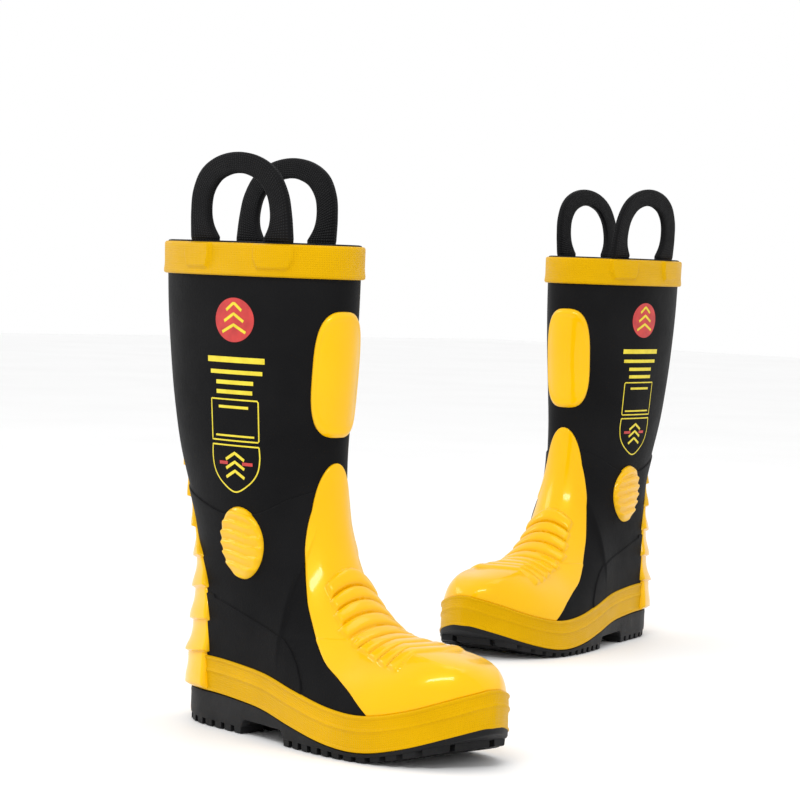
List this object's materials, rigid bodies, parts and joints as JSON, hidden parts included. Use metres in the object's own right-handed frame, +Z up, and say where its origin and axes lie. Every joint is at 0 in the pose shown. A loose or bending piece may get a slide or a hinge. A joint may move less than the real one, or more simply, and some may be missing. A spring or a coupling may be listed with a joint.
{
  "type": "fire boots",
  "caption": "Pair of tall black rubber fire boots with yellow toe, shin, ankle and heel guards, steel toe and midsole, and pull-on handles.",
  "frame": {"origin": "on the floor, at the middle of the pair's footprint", "axes": "+Z up; +X along the right boot, heel to toe; the left boot stands towards +Y and points mostly along -Y"},
  "size_m": [0.5356, 0.7846, 0.4207],
  "materials": {
    "yellow_rubber": "glossy moulded rubber",
    "yellow_matt_rubber": "satin rubber with a fine woven texture",
    "black_rubber": "matt rubber with a fine grain",
    "sole_rubber": "matt hard rubber",
    "steel": "bare pressed steel",
    "foam_filler": "closed-cell foam",
    "fibre_board": "pressed fibre board",
    "lining_cloth": "knitted textile",
    "insole_cloth": "felted textile over foam",
    "print_film": "thin printed transfer",
    "handle_rubber": "rubber over webbing, woven texture"
  },
  "bodies": {
    "right_boot": {"right_outsole": "sole_rubber", "right_foxing_band": "yellow_matt_rubber", "right_upper_shell": "black_rubber", "right_steel_toe_cap": "steel", "right_heel_counter": "fibre_board", "right_steel_midsole": "steel", "right_filler_sole": "foam_filler", "right_insole_board": "fibre_board", "right_lining": "lining_cloth", "right_quarter_layer": "black_rubber", "right_vamp_overlay": "yellow_rubber", "right_shin_guard": "yellow_rubber", "right_ankle_guard_lateral": "yellow_rubber", "right_ankle_guard_medial": "yellow_rubber", "right_heel_spine": "yellow_rubber", "right_side_print": "print_film", "right_collar_band": "yellow_matt_rubber", "right_handle_foot_lateral_front": "handle_rubber", "right_handle_foot_lateral_back": "handle_rubber", "right_handle_foot_medial_front": "handle_rubber", "right_handle_foot_medial_back": "handle_rubber"},
    "left_boot": {"left_outsole": "sole_rubber", "left_foxing_band": "yellow_matt_rubber", "left_upper_shell": "black_rubber", "left_steel_toe_cap": "steel", "left_heel_counter": "fibre_board", "left_steel_midsole": "steel", "left_filler_sole": "foam_filler", "left_insole_board": "fibre_board", "left_lining": "lining_cloth", "left_quarter_layer": "black_rubber", "left_vamp_overlay": "yellow_rubber", "left_shin_guard": "yellow_rubber", "left_ankle_guard_lateral": "yellow_rubber", "left_ankle_guard_medial": "yellow_rubber", "left_heel_spine": "yellow_rubber", "left_side_print": "print_film", "left_collar_band": "yellow_matt_rubber", "left_handle_foot_lateral_front": "handle_rubber", "left_handle_foot_lateral_back": "handle_rubber", "left_handle_foot_medial_front": "handle_rubber", "left_handle_foot_medial_back": "handle_rubber"},
    "right_insole": {"right_insole": "insole_cloth"},
    "right_handle_lateral": {"right_handle_lateral": "handle_rubber"},
    "right_handle_medial": {"right_handle_medial": "handle_rubber"},
    "left_insole": {"left_insole": "insole_cloth"},
    "left_handle_lateral": {"left_handle_lateral": "handle_rubber"},
    "left_handle_medial": {"left_handle_medial": "handle_rubber"}
  },
  "joints": [
    {"name": "left_boot_lift", "type": "slide", "parent": "right_boot", "child": "left_boot", "axis": [0, 0, 1], "range_m": [0, 0.45]},
    {"name": "right_handle_lateral_bend", "type": "hinge", "parent": "right_boot", "child": "right_handle_lateral", "pos_m": [0.0374, -0.37251, 0.3587], "axis": [0.9925, 0.1219, 0], "range_deg": [-20, 35], "stiffness_Nm_per_rad": 0.4},
    {"name": "right_handle_medial_bend", "type": "hinge", "parent": "right_boot", "child": "right_handle_medial", "pos_m": [-0.0036, -0.29411, 0.3587], "axis": [-0.9925, -0.1219, 0], "range_deg": [-20, 35], "stiffness_Nm_per_rad": 0.4},
    {"name": "left_handle_lateral_bend", "type": "hinge", "parent": "left_boot", "child": "left_handle_lateral", "pos_m": [-0.16635, 0.28922, 0.3587], "axis": [-0.1392, 0.9903, 0], "range_deg": [-20, 35], "stiffness_Nm_per_rad": 0.4},
    {"name": "left_handle_medial_bend", "type": "hinge", "parent": "left_boot", "child": "left_handle_medial", "pos_m": [-0.25269, 0.30853, 0.3587], "axis": [0.1392, -0.9903, 0], "range_deg": [-20, 35], "stiffness_Nm_per_rad": 0.4},
    {"name": "right_insole_lift", "type": "slide", "parent": "right_boot", "child": "right_insole", "axis": [0, 0, 1], "range_m": [0, 0.005]},
    {"name": "left_insole_lift", "type": "slide", "parent": "left_boot", "child": "left_insole", "axis": [0, 0, 1], "range_m": [0, 0.005]}
  ]
}
